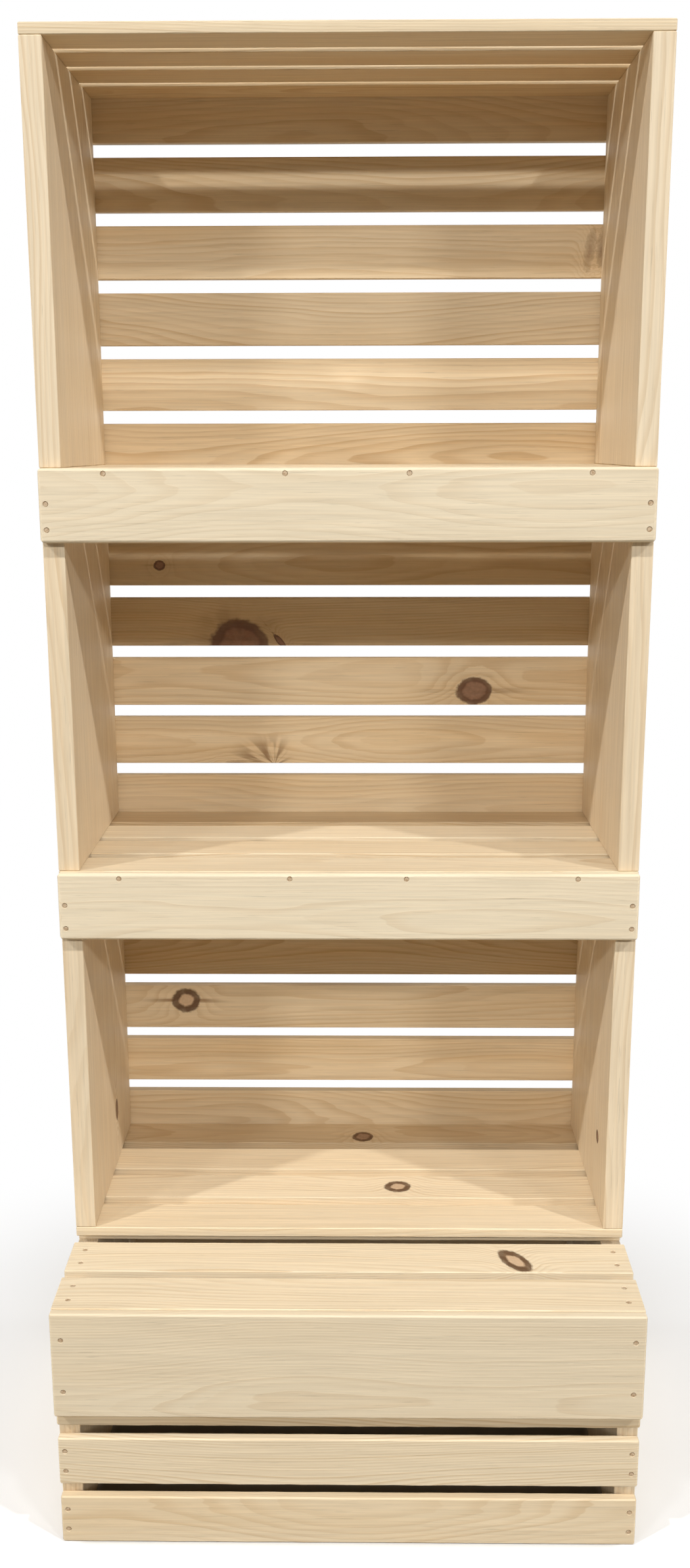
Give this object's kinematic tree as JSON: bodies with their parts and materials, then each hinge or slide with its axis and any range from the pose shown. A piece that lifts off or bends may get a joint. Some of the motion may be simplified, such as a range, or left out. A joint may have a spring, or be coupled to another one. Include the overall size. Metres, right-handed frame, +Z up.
{
  "type": "market crate stand",
  "caption": "Free-standing pine display stand of stacked, open-fronted slatted crates with solid sides and lip boards, on a deeper slatted base with a front ledge.",
  "frame": {"origin": "on the floor, at the middle of the stand's footprint", "axes": "+Z up, +X to the right of someone facing the open front, -Y out of the open front"},
  "size_m": [0.61, 0.418, 1.525],
  "materials": {
    "pine_slat": "bare planed pine",
    "pine_side": "bare planed pine",
    "pine_board": "bare planed pine",
    "steel": "plain wire nails and screws"
  },
  "bodies": {
    "root": {"base_back_slats": "pine_slat", "base_covered_front_slats": "pine_slat", "base_deck_slats": "pine_slat", "base_front_board": "pine_board", "base_front_slat_1": "pine_slat", "base_front_slat_2": "pine_slat", "base_ledge_slat_1": "pine_slat", "base_ledge_slat_2": "pine_slat", "base_nails": "steel", "base_side_left": "pine_side", "base_side_right": "pine_side", "lip_nails": "steel", "lower_back_slat_1": "pine_slat", "lower_back_slat_2": "pine_slat", "lower_back_slat_3": "pine_slat", "lower_back_slat_4": "pine_slat", "lower_back_slat_5": "pine_slat", "lower_back_slat_6": "pine_slat", "lower_floor_slat_1": "pine_slat", "lower_floor_slat_2": "pine_slat", "lower_floor_slat_3": "pine_slat", "lower_floor_slat_4": "pine_slat", "lower_nails": "steel", "lower_side_left": "pine_side", "lower_side_right": "pine_side", "lower_top_slats": "pine_slat", "middle_back_slat_1": "pine_slat", "middle_back_slat_2": "pine_slat", "middle_back_slat_3": "pine_slat", "middle_back_slat_4": "pine_slat", "middle_back_slat_5": "pine_slat", "middle_back_slat_6": "pine_slat", "middle_floor_slat_1": "pine_slat", "middle_floor_slat_2": "pine_slat", "middle_floor_slat_3": "pine_slat", "middle_floor_slat_4": "pine_slat", "middle_lip": "pine_board", "middle_nails": "steel", "middle_side_left": "pine_side", "middle_side_right": "pine_side", "middle_top_slats": "pine_slat", "stack_screws": "steel", "upper_back_slat_1": "pine_slat", "upper_back_slat_2": "pine_slat", "upper_back_slat_3": "pine_slat", "upper_back_slat_4": "pine_slat", "upper_back_slat_5": "pine_slat", "upper_back_slat_6": "pine_slat", "upper_floor_slat_1": "pine_slat", "upper_floor_slat_2": "pine_slat", "upper_floor_slat_3": "pine_slat", "upper_floor_slat_4": "pine_slat", "upper_lip": "pine_board", "upper_nails": "steel", "upper_side_left": "pine_side", "upper_side_right": "pine_side", "upper_top_slat_1": "pine_slat", "upper_top_slat_2": "pine_slat", "upper_top_slat_3": "pine_slat", "upper_top_slat_4": "pine_slat"}
  },
  "joints": []
}
